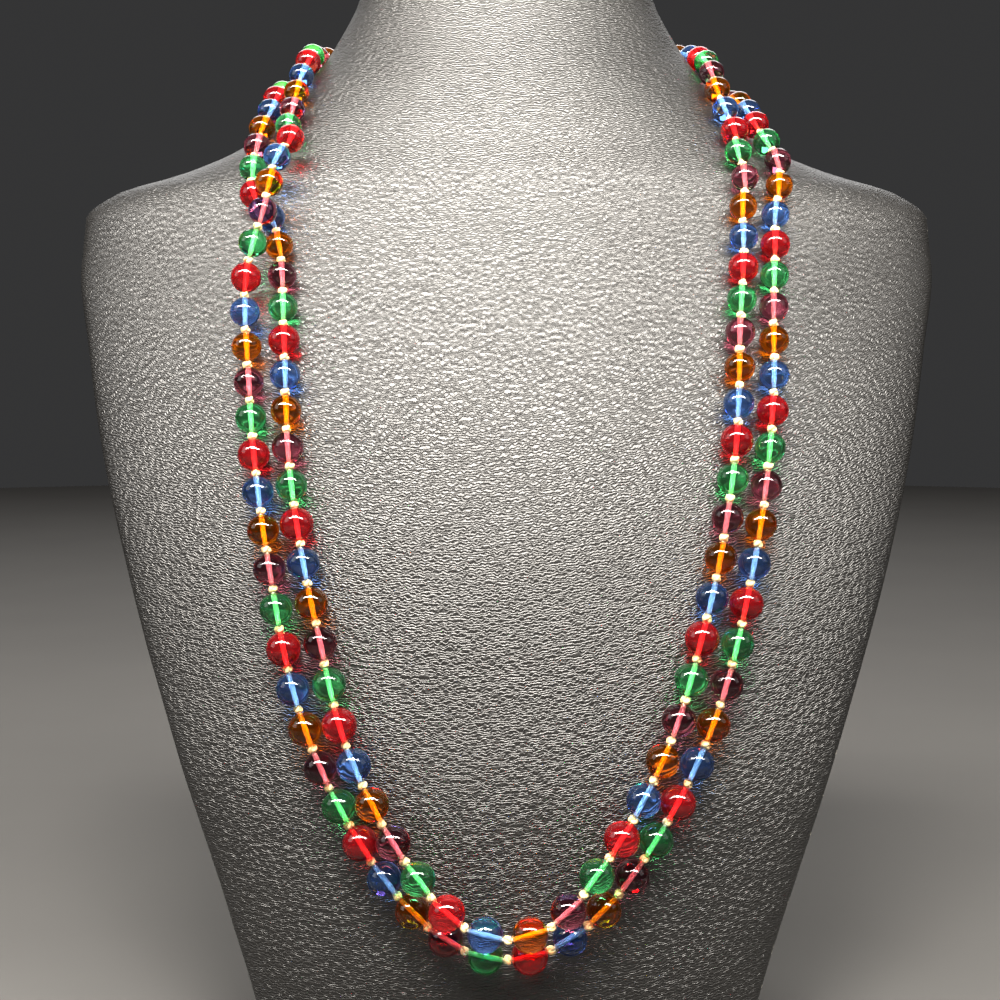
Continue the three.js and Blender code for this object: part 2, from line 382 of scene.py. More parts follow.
@dataclass(frozen=True)
class Leatherette:
    """Black embossed leatherette: a fine grain of short wavy wrinkles with a satin sheen.

    wrinkle_run is the way across the wrinkles, and wrinkle_sag how fast they turn up towards the
    sides. The grain is flatter where the leatherette is stretched, from the height stretch_from to
    stretch_to: relief is its strength below them, and stretch_loss how much is lost above. A pit
    keeps a fifth of the grain inside pit_core, and all of it past pit_rim.
    """

    # Painted shade together with the leatherette's own black: the colour of the grain's hollows and of the
    # pits.
    hollow_colour_and_shade: Colour = (0.003, 0.0027, 0.0025)
    ridge: Colour = (0.012, 0.011, 0.010)
    worn: Colour = (0.62, 0.58, 0.50)
    wrinkle_run: Direction = (-0.10, 0.40, 1.0)
    wrinkle_sag: float = 2.6
    wrinkle_spacing: float = 0.80 * MM
    wrinkle_curl: float = 2.2
    curl_size: float = 1.3 * MM
    wrinkle_length: float = 1.0 * MM
    wrinkle_depth: float = 0.13 * MM
    relief: float = 1.15
    stretch_loss: float = 0.42
    pore_scale: float = 2400.0
    pore_share: float = 0.16
    pit_spacing: float = 12.0 * MM
    break_limits: tuple[float, float] = (0.34, 0.62)
    break_loss: float = 0.35
    flake_scale: float = 520.0
    flake_limits: tuple[float, float] = (0.98, 1.06)
    wear_share: float = 0.62
    pit_core: float = 0.02
    pit_rim: float = 0.045
    roughness: float = 0.46
    specular: float = 1.0
    stretch_from: float = 0.10
    stretch_to: float = 0.27
    wear_attribute: str = "wear"

    def make(self) -> bpy.types.Material:
        """Builds the material.

        Returns:
            The leatherette.
        """
        shader = Shader("leatherette")
        place = shader.place()
        wrinkles = self.wrinkles(shader, place)
        pores = shader.noise(place, self.pore_scale, detail=1.0)
        cells = shader.add("ShaderNodeTexVoronoi", None, {"Vector": place, "Scale": 1 / self.pit_spacing})
        smooth = cells.step(self.pit_core, self.pit_rim)
        level = shader.add("ShaderNodeSeparateXYZ", None, {"Vector": place}, output="Z")
        stretched = level.step(self.stretch_from, self.stretch_to)
        grain = wrinkles * (self.relief - stretched * self.stretch_loss) + pores * self.pore_share
        height = grain * (smooth * 0.8 + 0.2)
        drift = shader.noise(place, 22.0, detail=3.0)
        wear = shader.add("ShaderNodeAttribute", {"attribute_name": self.wear_attribute}, output="Fac")
        flakes = shader.noise(place, self.flake_scale, detail=4.0, roughness=0.65)
        worn = (flakes + wear * self.wear_share).step(*self.flake_limits)
        # Darker in the grain's hollows and in the pits: partly the leatherette's own colour, partly painted
        # shade.
        skin = shader.blend(wrinkles * smooth, self.hollow_colour_and_shade, self.ridge)
        roughness = (drift - 0.5) * 0.12 + (1 - smooth) * 0.4 + worn * 0.3 + self.roughness
        surface = shader.add(
            "ShaderNodeBsdfPrincipled",
            None,
            {
                "Base Color": shader.blend(worn, skin, self.worn),
                "Roughness": roughness,
                "Specular IOR Level": self.specular,
                "Normal": shader.bump(height, self.wrinkle_depth),
            },
        )
        return shader.finish(surface)

    def wrinkles(self, shader: Shader, place: Value) -> Value:
        """Draws the grain: ripples that curl and break up into short wrinkles.

        Args:
            shader: the shader to draw in.
            place: the place on the bust.

        Returns:
            The grain's height, from 0 to 1.
        """
        settings = {"operation": "DOT_PRODUCT"}
        along = shader.add("ShaderNodeVectorMath", settings, {0: place, 1: self.wrinkle_run}, output="Value")
        across = shader.add("ShaderNodeSeparateXYZ", None, {"Vector": place}, output="X")
        along = along - across * across * self.wrinkle_sag
        curl = shader.noise(place, 1 / self.curl_size, detail=0.5)
        ripples = (along * (math.tau / self.wrinkle_spacing) + curl * (math.tau * self.wrinkle_curl)).sine()
        lengths = shader.noise(place, 1 / self.wrinkle_length, detail=0.0)
        breaks = lengths.step(*self.break_limits)
        return (ripples * 0.5 + 0.5) * (breaks * self.break_loss + (1 - self.break_loss))


@dataclass(frozen=True)
class BeadGlass:
    """Clear glass coloured in its depth, with a faint cloud near its skin.

    skin is the colour of that cloud and of the light that crosses the surface, through how much of
    each colour then passes ten millimetres of the glass, cloud how milky it is, and fullness how
    big its beads came out beside the strand's own grading.
    """

    tint: Tint
    skin: Colour
    through: Colour
    cloud: float
    fullness: float = 1.0
    ior: float = 1.5
    roughness: float = 0.012
    swirl_scale: float = 160.0
    swirl_depth: float = 0.35 * MM
    swirl_strength: float = 0.1

    def make(self) -> bpy.types.Material:
        """Builds the material.

        Returns:
            The glass.
        """
        shader = Shader(self.tint.value)
        swirl = shader.noise(shader.place(), self.swirl_scale, detail=1.0)
        depth = 10 * MM
        lost = [-math.log(share) / depth for share in self.through]
        density = max(lost)
        colour = tuple(1 - one / density for one in lost)
        surface = shader.add(
            "ShaderNodeBsdfPrincipled",
            None,
            {
                "Base Color": _rgba(self.skin),
                "Roughness": self.roughness,
                "IOR": self.ior,
                "Transmission Weight": 1 - self.cloud,
                "Normal": shader.bump(swirl, self.swirl_depth, self.swirl_strength),
            },
        )
        volume = shader.add("ShaderNodeVolumeAbsorption", None, {"Color": _rgba(colour), "Density": density})
        return shader.finish(surface, volume)


GLASSES = (
    BeadGlass(Tint.EMERALD, (0.30, 1.0, 0.50), (0.34, 0.92, 0.55), 0.018),
    BeadGlass(Tint.RUBY, (1.0, 0.05, 0.07), (1.0, 0.38, 0.38), 0.07, fullness=1.04),
    BeadGlass(Tint.SAPPHIRE, (0.26, 0.48, 1.0), (0.52, 0.72, 0.99), 0.022),
    BeadGlass(Tint.AMBER, (1.0, 0.42, 0.03), (0.99, 0.46, 0.04), 0.012),
    BeadGlass(Tint.AMETHYST, (0.85, 0.36, 0.44), (0.70, 0.32, 0.44), 0.004),
)
FULLNESS = {glass.tint: glass.fullness for glass in GLASSES}


@dataclass(frozen=True)
class CreamThread:
    """Twisted cream thread, a little darker in random patches and fibres.

    Inside the beads it has stayed clean; the knots between them have yellowed.
    """

    name: str
    pale: Colour = (0.94, 0.88, 0.72)
    deep: Colour = (0.82, 0.72, 0.50)
    roughness: float = 0.72

    def make(self) -> bpy.types.Material:
        """Builds the material.

        Returns:
            The thread.
        """
        shader = Shader(self.name)
        place = shader.place()
        fibres = shader.noise(place, 5200.0, detail=2.0)
        patches = shader.noise(place, 420.0, detail=2.0)
        surface = shader.add(
            "ShaderNodeBsdfPrincipled",
            None,
            {
                "Base Color": shader.blend(patches.step(0.3, 0.7) * 0.6 + fibres * 0.3, self.pale, self.deep),
                "Roughness": (fibres - 0.5) * 0.2 + self.roughness,
                "Sheen Weight": 0.2,
                "Normal": shader.bump(fibres, 0.06 * MM, 0.6),
            },
        )
        return shader.finish(surface)


@dataclass(frozen=True)
class Gilt:
    """Gilt metal with fine rubbing marks."""

    colour: Colour = (0.80, 0.58, 0.25)
    rubbed: Colour = (0.62, 0.43, 0.18)
    roughness: float = 0.24

    def make(self) -> bpy.types.Material:
        """Builds the material.

        Returns:
            The gilt metal.
        """
        shader = Shader("clasp_metal")
        place = shader.place()
        rubbing = shader.noise(shader.stretch(place, (4000.0, 900.0, 900.0)), 1.0, detail=3.0)
        surface = shader.add(
            "ShaderNodeBsdfPrincipled",
            None,
            {
                "Base Color": shader.blend(rubbing.step(0.45, 0.75), self.colour, self.rubbed),
                "Metallic": 1.0,
                "Roughness": (rubbing - 0.5) * 0.25 + self.roughness,
                "Normal": shader.bump(rubbing, 0.02 * MM, 0.4),
            },
        )
        return shader.finish(surface)


@dataclass(frozen=True)
class StudioFloor:
    """A pale matt floor."""

    pale: Colour = (0.10, 0.098, 0.095)
    shade: Colour = (0.088, 0.086, 0.084)

    def make(self) -> bpy.types.Material:
        """Builds the material.

        Returns:
            The floor's finish.
        """
        shader = Shader("studio_floor")
        mottle = shader.noise(shader.place(), 9.0, detail=3.0)
        colour = shader.blend(mottle, self.pale, self.shade)
        sockets = {"Base Color": colour, "Roughness": 0.75, "Specular IOR Level": 0.2}
        return shader.finish(shader.add("ShaderNodeBsdfPrincipled", None, sockets))


# ---- meshes ----------------------------------------------------------------------------------


@dataclass
class Draft:
    """A mesh being drawn: blocks of vertices with their faces, joined into one object at the end."""

    name: str
    blocks: list[np.ndarray] = field(default_factory=list)
    faces: list[tuple[int, ...]] = field(default_factory=list)
    count: int = 0

    def add(self, vertices: np.ndarray, faces: list[tuple[int, ...]]) -> None:
        """Adds a block.

        Args:
            vertices: its points, in metres.
            faces: its faces, counted from the block's own first vertex.
        """
        self.faces.extend(tuple(index + self.count for index in face) for face in faces)
        self.blocks.append(vertices)
        self.count += len(vertices)

    def build(self, material: bpy.types.Material, slot: str) -> bpy.types.Object:
        """Makes the object.

        Args:
            material: its finish.
            slot: the record's slot for that finish, not used.

        Returns:
            The object, which rides on the part's one body.
        """
        mesh = bpy.data.meshes.new(self.name)
        mesh.from_pydata(np.concatenate(self.blocks).tolist(), [], self.faces)
        mesh.materials.append(material)
        mesh.shade_smooth()
        mesh.update()
        piece = bpy.data.objects.new(self.name, mesh)
        bpy.context.scene.collection.objects.link(piece)
        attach(piece, ROOT_BODY)
        LOG.info("%s: %d vertices, %d faces", self.name, self.count, len(self.faces))
        return piece


def tube_faces(rings: int, sides: int, looped: bool, capped: bool) -> list[tuple[int, ...]]:
    """The faces of a stack of rings.

    Args:
        rings: how many rings there are.
        sides: the points of one ring.
        looped: whether the last ring joins the first.
        capped: whether each end is closed by one face.

    Returns:
        The faces, pointing out where the rings turn to the right as seen along the stack.
    """
    faces: list[tuple[int, ...]] = []
    for ring in range(rings if looped else rings - 1):
        low, high = ring * sides, ((ring + 1) % rings) * sides
        for side in range(sides):
            after = (side + 1) % sides
            faces.append((low + side, low + after, high + after, high + side))
    if capped:
        faces.append(tuple(reversed(range(sides))))
        faces.append(tuple(range((rings - 1) * sides, rings * sides)))
    return faces


# ---- the bust --------------------------------------------------------------------------------


@dataclass(frozen=True)
class BustForm:
    """The surface that the strands lie on."""

    levels: tuple[BustLevel, ...]
    back_mm: float
    origin: np.ndarray

    def column(self, name: str, heights: np.ndarray) -> np.ndarray:
        """One of the levels' measures at any height, on a curve that never overshoots them.

        Args:
            name: the measure.
            heights: heights in millimetres.

        Returns:
            The measure at each height.
        """
        knots = np.array([level.height for level in self.levels])
        values = np.array([getattr(level, name) for level in self.levels], dtype=float)
        rises = np.diff(values) / np.diff(knots)
        below, above = rises[:-1], rises[1:]
        agree = below * above > 0
        totals = np.where(agree, below + above, 1.0)
        inner = np.where(agree, 2 * below * above / totals, 0.0)
        slopes = np.concatenate([rises[:1], inner, rises[-1:]])
        at = np.clip(heights, knots[0], knots[-1])
        low = np.clip(np.searchsorted(knots, at, side="right") - 1, 0, len(knots) - 2)
        span = knots[low + 1] - knots[low]
        t = (at - knots[low]) / span
        return (
            values[low] * (1 + 2 * t) * (1 - t) ** 2
            + values[low + 1] * t * t * (3 - 2 * t)
            + span * slopes[low] * t * (1 - t) ** 2
            + span * slopes[low + 1] * t * t * (t - 1)
        )

    def points(self, turns: np.ndarray, heights: np.ndarray) -> np.ndarray:
        """Points of the surface.

        Args:
            turns: degrees round the bust from the middle of the front.
            heights: millimetres above the base.

        Returns:
            One row for each point, in metres in the part's frame.
        """
        angles = np.radians(turns)
        across, forward = np.sin(angles), np.cos(angles)
        half, chest, edge = (self.column(name, heights) for name in ("half_width", "chest", "edge"))
        bow, square = self.column("bow", heights), self.column("square", heights)
        front_y = edge - (edge - chest) * np.abs(forward) ** (2 / bow)
        back_x = half * np.sign(across) * np.abs(across) ** (2 / square)
        back_y = edge + (self.back_mm - edge) * np.abs(forward) ** (2 / square)
        in_front = forward >= 0
        x = np.where(in_front, half * across, back_x)
        y = np.where(in_front, front_y, back_y)
        return np.stack([x, y, heights], axis=-1) * MM + self.origin

    def normals(self, turns: np.ndarray, heights: np.ndarray) -> np.ndarray:
        """The surface's outward directions.

        Args:
            turns: degrees round the bust.
            heights: millimetres above the base.

        Returns:
            One unit row for each point.
        """
        step = 0.05
        around = self.points(turns + step, heights) - self.points(turns - step, heights)
        upward = self.points(turns, heights + step) - self.points(turns, heights - step)
        return unit(np.cross(around, upward))


def unit(vectors: np.ndarray) -> np.ndarray:
    """Vectors of length one."""
    return vectors / np.linalg.norm(vectors, axis=-1, keepdims=True)


def spokes(angles: np.ndarray, first: np.ndarray, second: np.ndarray) -> np.ndarray:
    """The ways out at these angles from first towards second, for each row of the two."""
    cosines, sines = np.cos(angles)[None, :, None], np.sin(angles)[None, :, None]
    return cosines * first[:, None, :] + sines * second[:, None, :]


@dataclass
class NeckBust:
    """The display bust: leatherette drawn over a plain form with a flat back and a flat base."""

    form: BustForm
    finish: Leatherette
    front_columns: int = 150
    back_columns: int = 110
    level_spacing_mm: float = 2.0
    base_rounding_mm: float = 1.5
    top_rounding_mm: float = 4.0
    cap_rings: int = 6
    slack_mm: float = 0.22
    wear_turn: float = 88.0
    wear_spread: float = 5.0

    def build(self) -> bpy.types.Object:
        """Builds the bust.

        Returns:
            The bust, which stands for the plain solid neck_bust.
        """
        rings, wear = [], []
        for height, inset in self.profile():
            ring, turns = self.ring(height)
            middle = ring.mean(axis=0)
            away = ring - middle
            away[:, 2] = 0
            reach = np.linalg.norm(away, axis=1, keepdims=True)
            rings.append(ring - away / reach * np.minimum(inset * MM, reach * 0.999))
            wear.append(self.wear_at(turns, height))
        count = len(rings[0])
        draft = Draft("leatherette_bust")
        vertices = self.ease(np.concatenate(rings), count)
        draft.add(vertices, tube_faces(len(rings), count, looped=False, capped=True))
        bust = draft.build(self.finish.make(), "leatherette")
        attribute = bust.data.attributes.new(self.finish.wear_attribute, "FLOAT", "POINT")
        attribute.data.foreach_set("value", np.concatenate(wear).astype(np.float32))
        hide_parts("neck_bust")
        return bust

    def profile(self) -> list[tuple[float, float]]:
        """The levels of the mesh.

        Returns:
            A height and how far the level is drawn in, both in millimetres, from the base's middle
            up the sides to the middle of the top.
        """
        top = self.form.levels[-1].height
        quarter = np.radians(np.linspace(0, 90, 5))
        far = self.form.levels[0].half_width
        shares = np.linspace(0.98, 0.1, self.cap_rings)
        base = [(0.0, far * share) for share in shares]
        low = [
            (self.base_rounding_mm * (1 - math.cos(a)), self.base_rounding_mm * (1 - math.sin(a)))
            for a in quarter
        ]
        sides_from, sides_to = self.base_rounding_mm, top - self.top_rounding_mm
        count = int((sides_to - sides_from) / self.level_spacing_mm)
        sides = [(height, 0.0) for height in np.linspace(sides_from, sides_to, count)[1:-1]]
        high = [
            (sides_to + self.top_rounding_mm * math.sin(a), self.top_rounding_mm * (1 - math.cos(a)))
            for a in quarter
        ]
        cap = [(top, self.top_rounding_mm + 40 * share) for share in shares[::-1]]
        return base + low + sides + high + cap

    def ring(self, height: float) -> tuple[np.ndarray, np.ndarray]:
        """One level, its points evenly spaced along the front and along the back.

        Args:
            height: millimetres above the base.

        Returns:
            The points and their turns, from the left edge round the front and the back.
        """
        points, turns = [], []
        for start, columns in ((-90.0, self.front_columns), (90.0, self.back_columns)):
            dense = start + 90 * (1 - np.cos(np.linspace(0, math.pi, 1500)))
            along = self.form.points(dense, np.full(dense.shape, height))
            run = np.concatenate([[0], np.cumsum(np.linalg.norm(np.diff(along, axis=0), axis=1))])
            even = np.interp(np.linspace(0, run[-1], columns, endpoint=False), run, dense)
            points.append(self.form.points(even, np.full(even.shape, height)))
            turns.append(even)
        return np.concatenate(points), np.concatenate(turns)

    def ease(self, vertices: np.ndarray, count: int) -> np.ndarray:
        """Gives the drawn leatherette its slight unevenness, and none at the base.

        Args:
            vertices: the mesh's points.
            count: the points of one level.

        Returns:
            The points, moved level by a fraction of a millimetre.
        """
        x, y, z = (vertices - self.form.origin).T / MM
        swell = np.sin(x / 23 + 1.3) * np.cos(z / 31 + 0.4) + 0.6 * np.sin(x / 11 - z / 17 + y / 19)
        away = vertices - vertices.reshape(-1, count, 3).mean(axis=1).repeat(count, axis=0)
        away[:, 2] = 0
        reach = np.linalg.norm(away, axis=1, keepdims=True)
        settle = np.clip(z / 15, 0, 1) * np.clip((reach[:, 0] / MM - 20) / 20, 0, 1)
        return vertices - away / reach * (np.abs(swell) * settle * self.slack_mm * MM)[:, None]

    def wear_at(self, turns: np.ndarray, height: float) -> np.ndarray:
        """How worn the leatherette is: most along the right side edge, low down and at the shoulder.

        Args:
            turns: degrees round the bust.
            height: millimetres above the base.

        Returns:
            From 0 to 1 for each point.
        """
        across = np.exp(-(((turns - self.wear_turn) / self.wear_spread) ** 2))
        lower = 0.8 * float(np.clip((150 - height) / 40, 0, 1))
        shoulder = math.exp(-(((height - 247) / 6) ** 2))
        return across * max(lower, shoulder)


# ---- the strands -----------------------------------------------------------------------------


@dataclass(frozen=True)
class Bead:
    """A bead on its strand: where it is, which way its bore runs, and its size and glass."""

    centre: np.ndarray
    axis: np.ndarray
    side: np.ndarray
    out: np.ndarray
    radius: float
    tint: Tint


@dataclass
class Strand:
    """A strand's thread on the bust, and the beads strung along it."""

    name: str
    stops: tuple[Stop, ...]
    form: BustForm
    middle_tint: Tint
    front_diameter_mm: float = 10.0
    taper_mm: float = 0.075
    pitch_ratio: float = 1.22
    pitch_unevenness: float = 0.01
    skin_gap_mm: float = 0.4
    samples: int = 3000

    def __post_init__(self) -> None:
        """Traces the thread from the clasp's left end round the front to its right end."""
        turns, heights, lifts = self.route()
        skin, normals = self.form.points(turns, heights), self.form.normals(turns, heights)
        middle = int(np.argmax(turns >= 0))
        clearance = (self.skin_gap_mm + np.maximum(lifts, 0)) * MM
        runs = np.zeros(len(turns))
        for _ in range(2):
            away = np.abs(runs - runs[middle]) / (self.front_diameter_mm * self.pitch_ratio * MM)
            reach = self.diameter(away) / 2 + clearance
            points = skin + normals * reach[:, None]
            steps = np.linalg.norm(np.diff(points, axis=0), axis=1)
            runs = np.concatenate([[0], np.cumsum(steps)])
        self.points, self.normals, self.runs, self.middle_run = points, normals, runs, runs[middle]

    def diameter(self, beads_away: np.ndarray | float) -> np.ndarray | float:
        """The diameter, in metres, of the bead that is so many beads from the middle."""
        return (self.front_diameter_mm - self.taper_mm * beads_away) * MM

    def route(self) -> tuple[np.ndarray, np.ndarray, np.ndarray]:
        """The stops joined by a centripetal Catmull-Rom curve.

        Returns:
            The turn, height and lift of each sample.
        """
        stops = np.array([(stop.turn, stop.height, stop.lift) for stop in self.stops], dtype=float)
        ends = (2 * stops[:1] - stops[1:2], 2 * stops[-1:] - stops[-2:-1])
        padded = np.concatenate([ends[0], stops, ends[1]])
        gaps = np.sum(np.diff(padded, axis=0) ** 2, axis=1) ** 0.25
        at = np.linspace(0, len(stops) - 1, self.samples + 1)
        piece = np.minimum(at.astype(int), len(stops) - 2)
        t = (at - piece)[:, None]
        p0, p1, p2, p3 = (padded[piece + offset] for offset in range(4))
        d0, d1, d2 = (gaps[piece + offset][:, None] for offset in range(3))
        leave = ((p1 - p0) / d0 - (p2 - p0) / (d0 + d1) + (p2 - p1) / d1) * d1
        arrive = ((p2 - p1) / d1 - (p3 - p1) / (d1 + d2) + (p3 - p2) / d2) * d1
        cubic = 2 * p1 - 2 * p2 + leave + arrive
        square = -3 * p1 + 3 * p2 - 2 * leave - arrive
        turns, heights, lifts = (((cubic * t + square) * t + leave) * t + p1).T
        return turns, heights, lifts

    def at(self, run: float) -> tuple[np.ndarray, np.ndarray, np.ndarray]:
        """A place along the thread.

        Args:
            run: metres from the left end.

        Returns:
            The point, the way on and the way out from the skin, square to it.
        """
        point = np.array([np.interp(run, self.runs, self.points[:, i]) for i in range(3)])
        reach = 1.5 * MM
        ends = [
            np.array([np.interp(run + way, self.runs, self.points[:, i]) for i in range(3)])
            for way in (-reach, reach)
        ]
        axis = unit(ends[1] - ends[0])
        normal = np.array([np.interp(run, self.runs, self.normals[:, i]) for i in range(3)])
        return point, axis, unit(normal - axis * float(normal @ axis))

    def beads(self) -> list[Bead]:
        """Strings the beads out from the middle, both ways, until the clasp leaves no room.

        Returns:
            The beads from the left end to the right.
        """
        left = self.half(Side.LEFT)
        strung = left[::-1] + self.half(Side.RIGHT)
        return [strung[0], *map(self.aligned, strung, strung[1:], strung[2:]), strung[-1]]

    def aligned(self, before: Bead, bead: Bead, after: Bead) -> Bead:
        """Turns a bead the way the thread pulls it, in line with the beads on either side.

        Args:
            before: the bead before it.
            bead: the bead to turn.
            after: the bead after it.

        Returns:
            The bead with its bore turned.
        """
        axis = unit(after.centre - before.centre)
        out = unit(bead.out - axis * float(bead.out @ axis))
        return replace(bead, axis=axis, side=np.cross(out, axis), out=out)

    def half(self, side: Side) -> list[Bead]:
        """The beads of one half.

        Args:
            side: which half.

        Returns:
            The beads from the middle outwards.
        """
        ratio = self.pitch_ratio + side.value * self.pitch_unevenness
        first = TINT_CYCLE.index(self.middle_tint)
        beads: list[Bead] = []
        offset = self.diameter(0.5) * ratio / 2
        while True:
            count = len(beads)
            diameter = self.diameter(count + 0.5)
            run = self.middle_run + side.value * offset
            spare = self.runs[-1] - run if side is Side.RIGHT else run
            if spare < diameter:
                return beads
            place = first + count if side is Side.RIGHT else first - count - 1
            centre, axis, out = self.at(run)
            tint = TINT_CYCLE[place % len(TINT_CYCLE)]
            beads.append(Bead(centre, axis, np.cross(out, axis), out, diameter / 2, tint))
            offset += (diameter + self.diameter(count + 1.5)) / 2 * ratio


@dataclass
class BeadString:
    """The drilled glass beads of one strand, one mesh for each glass."""

    strand: Strand
    beads: list[Bead]
    fullness: dict[Tint, float]
    bore_radius: float = 0.46 * MM
    lip: float = 0.10 * MM
    sides: int = 40
    latitudes: int = 25
    seed: int = 7

    def build(self, glasses: dict[Tint, bpy.types.Material]) -> list[bpy.types.Object]:
        """Builds the beads.

        Args:
            glasses: the material of each glass.

        Returns:
            One object for each glass.
        """
        chance = random.Random(self.seed)
        drafts = {tint: Draft(f"{self.strand.name}_{tint.name.lower()}_beads") for tint in TINT_CYCLE}
        for bead in self.beads:
            vertices, rings = self.turned(bead, chance)
            drafts[bead.tint].add(vertices, tube_faces(rings, self.sides, looped=True, capped=False))
        return [draft.build(glasses[tint], tint.value) for tint, draft in drafts.items()]

    def turned(self, bead: Bead, chance: random.Random) -> tuple[np.ndarray, int]:
        """Turns one bead: a ball with a bore and softened lips, never quite round.

        Args:
            bead: the bead to turn.
            chance: gives each bead its own small faults.

        Returns:
            The vertices, and how many rings they make.
        """
        radius = bead.radius * self.fullness[bead.tint]
        lip_angle = math.asin((self.bore_radius + self.lip) / radius)
        polar = np.linspace(lip_angle, math.pi - lip_angle, self.latitudes)
        ball = [(-radius * math.cos(angle), radius * math.sin(angle)) for angle in polar]
        mouth = radius * math.cos(lip_angle) - 0.4 * self.lip
        bore = [(mouth * share, self.bore_radius) for share in (1.0, 0.33, -0.33, -1.0)]
        profile = np.array(ball + bore)
        length = chance.uniform(0.955, 0.99)
        oval, tilt = chance.uniform(0.0, 0.012), chance.uniform(0, math.tau)
        angles = np.arange(self.sides) * math.tau / self.sides + tilt
        swell = 1 - oval * (1 + np.cos(2 * angles))
        along = (profile[:, 0] * length)[:, None, None] * bead.axis
        reach = profile[:, 1][:, None] * swell[None, :]
        around = np.cos(angles)[:, None] * bead.side + np.sin(angles)[:, None] * bead.out
        vertices = bead.centre + along + reach[:, :, None] * around[None, :, :]
        return vertices.reshape(-1, 3), len(profile)


@dataclass
class KnottedThread:
    """The thread of one strand, which fills the bores, and the overhand knots between the beads."""

    strand: Strand
    beads: list[Bead]
    radius: float = 0.50 * MM
    ply_depth: float = 0.06
    ply_turns_per_metre: float = 420.0
    sides: int = 12
    knot_width: float = 3.0 * MM
    knot_sides: int = 8
    knot_steps: int = 44
    seed: int = 19

    def build(self, clean: bpy.types.Material, yellowed: bpy.types.Material) -> list[bpy.types.Object]:
        """Builds the thread and its knots.

        Args:
            clean: the finish of the thread inside the beads.
            yellowed: the finish of the knots.

        Returns:
            The thread and the knots.
        """
        thread = Draft(f"{self.strand.name}_thread")
        path = self.path()
        thread.add(self.twisted(path), tube_faces(len(path), self.sides, looped=False, capped=True))
        knots = Draft(f"{self.strand.name}_knots")
        chance = random.Random(self.seed)
        faces = tube_faces(self.knot_steps, self.knot_sides, looped=True, capped=False)
        for before, after in zip(self.beads, self.beads[1:]):
            leave = before.centre + before.axis * before.radius
            arrive = after.centre - after.axis * after.radius
            gap = float(np.linalg.norm(after.centre - before.centre)) - before.radius - after.radius
            axis = unit(after.centre - before.centre)
            knots.add(self.knot((leave + arrive) / 2, axis, before.out, gap, chance), faces)
        return [thread.build(clean, "thread"), knots.build(yellowed, "thread")]

    def path(self) -> np.ndarray:
        """The thread's middle line, straight through each bead and bending in the gaps.

        Returns:
            Its points, about a third of a millimetre apart.
        """
        corners = [self.strand.points[0]]
        for bead in self.beads:
            corners.extend(bead.centre + bead.axis * bead.radius * share for share in (-0.95, 0.0, 0.95))
        corners.append(self.strand.points[-1])
        line = np.array(corners)
        run = np.concatenate([[0], np.cumsum(np.linalg.norm(np.diff(line, axis=0), axis=1))])
        even = np.arange(0, run[-1], 0.35 * MM)
        rough = np.stack([np.interp(even, run, line[:, i]) for i in range(3)], axis=1)
        soft = rough.copy()
        soft[1:-1] = (rough[:-2] + rough[1:-1] * 2 + rough[2:]) / 4
        return soft

    def twisted(self, path: np.ndarray) -> np.ndarray:
        """Skins the path with two plies that wind round one another.

        Args:
            path: the thread's middle line.

        Returns:
            The vertices, ring after ring.
        """
        axes = unit(np.gradient(path, axis=0))
        side = unit(np.cross(axes, np.array([0.0, 0.0, 1.0]) + 0.01))
        out = np.cross(axes, side)
        run = np.concatenate([[0], np.cumsum(np.linalg.norm(np.diff(path, axis=0), axis=1))])
        angles = np.arange(self.sides) * math.tau / self.sides
        phase = run[:, None] * self.ply_turns_per_metre * math.tau
        reach = self.radius * (1 + self.ply_depth * np.cos(2 * angles[None, :] - phase))
        return (path[:, None, :] + reach[:, :, None] * spokes(angles, side, out)).reshape(-1, 3)

    def knot(
        self, centre: np.ndarray, axis: np.ndarray, out: np.ndarray, gap: float, chance: random.Random
    ) -> np.ndarray:
        """Ties one overhand knot, drawn up tight between two beads.

        Args:
            centre: the middle of the gap.
            axis: the way the thread runs.
            out: the way out from the skin.
            gap: the room between the beads.
            chance: gives each knot its own turn and size.

        Returns:
            The vertices of its closed cord.
        """
        cord = 0.31 * gap
        spread = (self.knot_width * chance.uniform(0.90, 1.06) / 2 - cord) / 3
        rise = gap / 2 - cord + 0.10 * MM
        t = np.arange(self.knot_steps) * math.tau / self.knot_steps
        spin = chance.uniform(0, math.tau)
        flat_x, flat_y = np.sin(t) + 2 * np.sin(2 * t), np.cos(t) - 2 * np.cos(2 * t)
        lean = chance.uniform(-0.22, 0.22) * out + chance.uniform(-0.22, 0.22) * np.cross(out, axis)
        axis = unit(axis + lean)
        side = unit(np.cross(out, axis))
        up = np.cross(axis, side)
        x = (flat_x * math.cos(spin) - flat_y * math.sin(spin)) * spread
        y = (flat_x * math.sin(spin) + flat_y * math.cos(spin)) * spread
        line = centre + x[:, None] * side + y[:, None] * up - (np.sin(3 * t) * rise)[:, None] * axis
        ahead = unit(np.roll(line, -1, axis=0) - np.roll(line, 1, axis=0))
        level = unit(np.cross(ahead, axis))
        rest = np.cross(level, ahead)
        angles = np.arange(self.knot_sides) * math.tau / self.knot_sides
        return (line[:, None, :] + cord * spokes(angles, rest, level)).reshape(-1, 3)


# ---- the clasp -------------------------------------------------------------------------------


